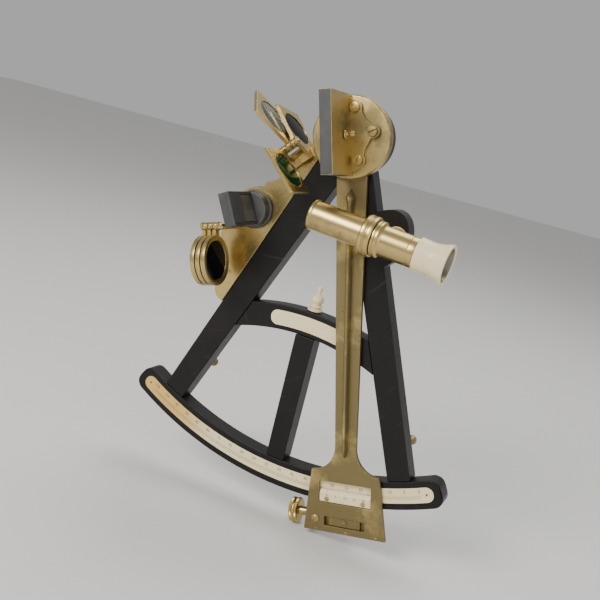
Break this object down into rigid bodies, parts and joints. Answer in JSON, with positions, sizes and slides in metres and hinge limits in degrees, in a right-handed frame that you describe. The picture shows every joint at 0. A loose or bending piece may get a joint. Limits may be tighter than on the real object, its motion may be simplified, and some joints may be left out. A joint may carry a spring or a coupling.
{
  "type": "nautical octant",
  "caption": "Hand-held reflecting instrument for measuring angles at sea: ebony frame, brass index arm with mirror, ivory scale, telescope, horizon mirror and shades.",
  "frame": {"origin": "on the index arm's pivot axis, in the plane of the three feet's ends, at the middle of the apex foot's end face", "axes": "+Z along the frame's centre line from the arc up to the pivot, +Y backwards out of the feet, -Y towards the observer's side that carries the mirrors and telescope, +X towards the eye end of the telescope"},
  "size_m": [0.2454, 0.0862, 0.3001],
  "materials": {
    "ebony": "satin, worn at the edges",
    "brass": "aged, brushed and lacquered",
    "ivory": "yellowed, polished",
    "white_ivory": "polished",
    "steel": "turned",
    "oxidised_metal": "dull dark grey",
    "mirror_silver": "old silvered glass",
    "lens_glass": "clear",
    "green_glass": "deep green",
    "clear_glass": "pale smoked",
    "smoke_glass": "near black"
  },
  "bodies": {
    "frame": {"head_block": "ebony", "left_limb": "ebony", "right_limb": "ebony", "arc_limb": "ebony", "cross_bar": "ebony", "centre_post": "ebony", "scale_strip": "ivory", "note_plate": "ivory", "pivot_bush": "brass", "apex_foot": "brass", "left_foot": "brass", "right_foot": "brass", "horizon_plate": "brass", "plate_screw": "brass", "index_shade_bracket": "brass", "index_shade_pin": "brass", "horizon_shade_post": "brass", "horizon_shade_pin": "brass", "telescope_seat": "brass"},
    "index_arm": {"index_arm": "brass", "index_axle": "steel", "axle_nut": "brass", "mirror_bracket": "brass", "index_mirror_frame": "oxidised_metal", "index_mirror_glass": "mirror_silver", "bracket_screw_1": "brass", "bracket_screw_2": "brass", "bracket_screw_3": "brass", "vernier": "ivory", "vernier_screw_left": "brass", "vernier_screw_right": "brass", "tangent_bearing": "brass"},
    "mirror_adjuster": {"mirror_adjusting_screw": "brass"},
    "tangent_screw": {"tangent_screw": "brass"},
    "clamp": {"clamp_block": "brass"},
    "clamp_screw": {"clamp_screw": "brass"},
    "green_shade": {"green_shade_frame": "brass", "green_shade_glass": "green_glass"},
    "clear_shade": {"clear_shade_frame": "brass", "clear_shade_glass": "clear_glass"},
    "dark_shade": {"dark_shade_frame": "brass", "dark_shade_glass": "smoke_glass"},
    "horizon_shade_1": {"horizon_shade_1_frame": "brass", "horizon_shade_1_glass": "smoke_glass"},
    "horizon_shade_2": {"horizon_shade_2_frame": "brass", "horizon_shade_2_glass": "smoke_glass"},
    "horizon_shade_3": {"horizon_shade_3_frame": "brass", "horizon_shade_3_glass": "smoke_glass"},
    "telescope": {"telescope_bracket": "brass", "main_tube": "brass", "objective_lens": "lens_glass"},
    "eyepiece": {"draw_tube": "brass", "eye_lens": "lens_glass", "eyecup": "white_ivory"},
    "rise_nut": {"rise_nut": "brass"},
    "horizon_mirror": {"horizon_base": "oxidised_metal", "horizon_frame": "oxidised_metal", "horizon_glass": "mirror_silver", "horizon_lever": "brass"},
    "pencil": {"pencil": "white_ivory"}
  },
  "joints": [
    {"name": "index_arm_swing", "type": "hinge", "parent": "frame", "child": "index_arm", "pos_m": [0, -0.041, 0], "axis": [0, -1, 0], "range_deg": [-40, 13]},
    {"name": "tangent_screw_turn", "type": "hinge", "parent": "index_arm", "child": "tangent_screw", "pos_m": [0.06294, -0.036, -0.25433], "axis": [0.9707, 0, 0.2402], "range_deg": [-1080, 1080]},
    {"name": "clamp_travel", "type": "slide", "parent": "index_arm", "child": "clamp", "axis": [0.9707, 0, 0.2402], "range_m": [-0.003, 0.003]},
    {"name": "clamp_screw_turn", "type": "hinge", "parent": "clamp", "child": "clamp_screw", "pos_m": [0.05983, -0.023, -0.23759], "axis": [0, 1, 0], "range_deg": [0, 270]},
    {"name": "mirror_adjuster_turn", "type": "hinge", "parent": "index_arm", "child": "mirror_adjuster", "pos_m": [0.0012, -0.063, 0.00087], "axis": [0.9593, 0, 0.2823], "range_deg": [-180, 180]},
    {"name": "green_shade_swing", "type": "hinge", "parent": "frame", "child": "green_shade", "pos_m": [-0.0424, -0.051, -0.019], "axis": [-0.6743, 0, -0.7385], "range_deg": [0, 193]},
    {"name": "clear_shade_swing", "type": "hinge", "parent": "frame", "child": "clear_shade", "pos_m": [-0.03984, -0.051, -0.01619], "axis": [-0.6743, 0, -0.7385], "range_deg": [-138, 55]},
    {"name": "dark_shade_swing", "type": "hinge", "parent": "frame", "child": "dark_shade", "pos_m": [-0.03728, -0.051, -0.01339], "axis": [-0.6743, 0, -0.7385], "range_deg": [-193, 0]},
    {"name": "horizon_shade_1_swing", "type": "hinge", "parent": "frame", "child": "horizon_shade_1", "pos_m": [-0.08063, -0.065, -0.08207], "axis": [-0.9563, 0, -0.2924], "range_deg": [0, 180]},
    {"name": "horizon_shade_2_swing", "type": "hinge", "parent": "frame", "child": "horizon_shade_2", "pos_m": [-0.0768, -0.065, -0.0809], "axis": [-0.9563, 0, -0.2924], "range_deg": [0, 180]},
    {"name": "horizon_shade_3_swing", "type": "hinge", "parent": "frame", "child": "horizon_shade_3", "pos_m": [-0.07297, -0.065, -0.07973], "axis": [-0.9563, 0, -0.2924], "range_deg": [0, 180]},
    {"name": "rise_nut_turn", "type": "hinge", "parent": "frame", "child": "rise_nut", "pos_m": [0.04498, -0.025, -0.05592], "axis": [0, -1, 0], "range_deg": [0, 1440]},
    {"name": "telescope_rise", "type": "slide", "parent": "frame", "child": "telescope", "axis": [0, -1, 0], "range_m": [0, 0.004]},
    {"name": "focus_slide", "type": "slide", "parent": "telescope", "child": "eyepiece", "axis": [0.9976, 0, -0.0685], "range_m": [0, 0.008]},
    {"name": "horizon_mirror_turn", "type": "hinge", "parent": "frame", "child": "horizon_mirror", "pos_m": [-0.0585, -0.041, -0.064], "axis": [0, -1, 0], "range_deg": [-4, 4]},
    {"name": "pencil_slide", "type": "slide", "parent": "frame", "child": "pencil", "axis": [0, 0, 1], "range_m": [0, 0.048]}
  ],
  "couplings": [
    {"joint": "tangent_screw_turn", "follows": "clamp_travel", "rad_per_m": 6283.2},
    {"joint": "rise_nut_turn", "follows": "telescope_rise", "rad_per_m": 6283.2}
  ]
}
